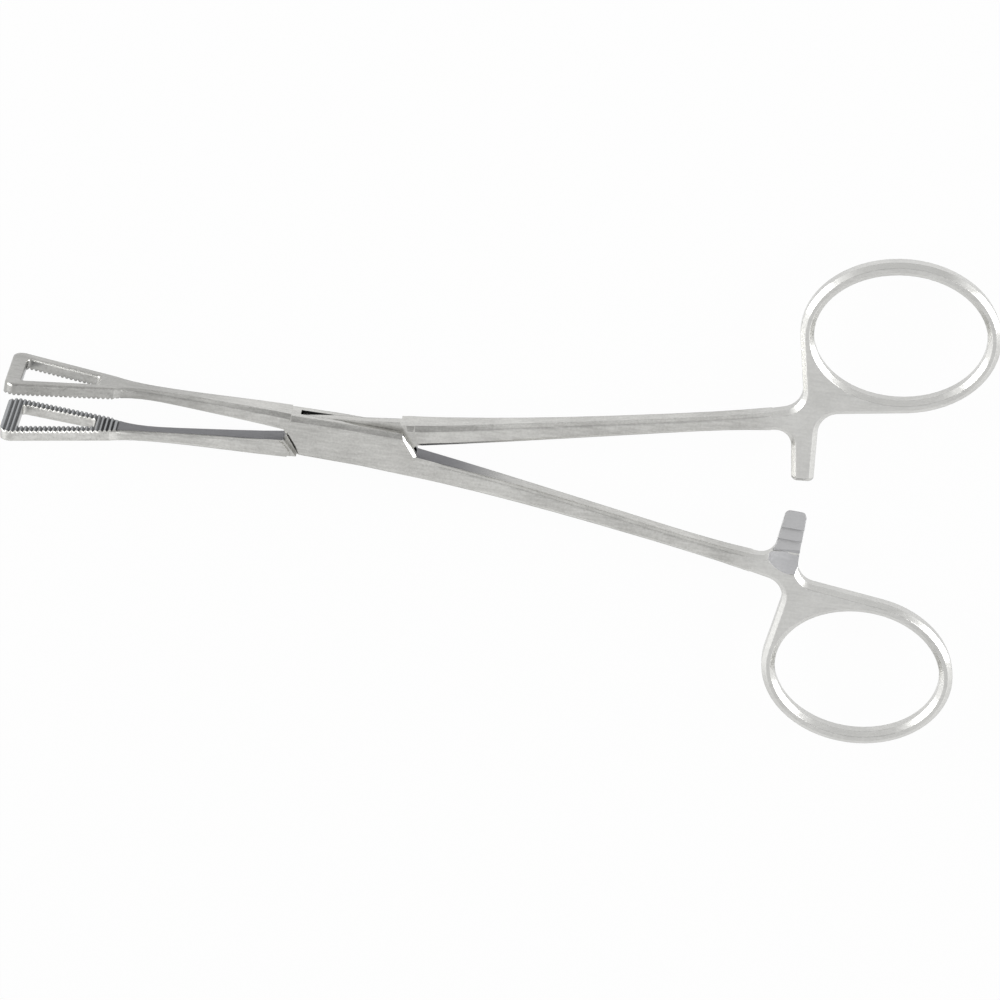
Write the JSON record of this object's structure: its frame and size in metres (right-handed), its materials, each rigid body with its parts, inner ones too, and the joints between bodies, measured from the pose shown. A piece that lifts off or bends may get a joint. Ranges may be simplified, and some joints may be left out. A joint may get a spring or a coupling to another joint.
{
  "type": "tissue grasping forceps",
  "caption": "Box-lock grasping forceps with triangular loop jaws, cross-serrated faces, a finger ratchet and oval rings.",
  "frame": {"origin": "on the pivot pin's axis, at the underside of the box lock", "axes": "+X along the line halfway between the shanks, towards the finger rings; +Y towards the ring of the half that passes through the lock; +Z along the pin, away from the underside"},
  "size_m": [0.1503, 0.0792, 0.0144],
  "materials": {
    "satin_steel": "satin, with polished bevels",
    "pin_steel": "satin, ground flush"
  },
  "bodies": {
    "female": {"female_half": "satin_steel", "lock_pin": "pin_steel"},
    "male": {"male_half": "satin_steel"}
  },
  "joints": [
    {"name": "box_lock", "type": "hinge", "parent": "female", "child": "male", "pos_m": [0, 0, 0.0025], "axis": [0, 0, 1], "range_deg": [-6.2, 45]}
  ]
}
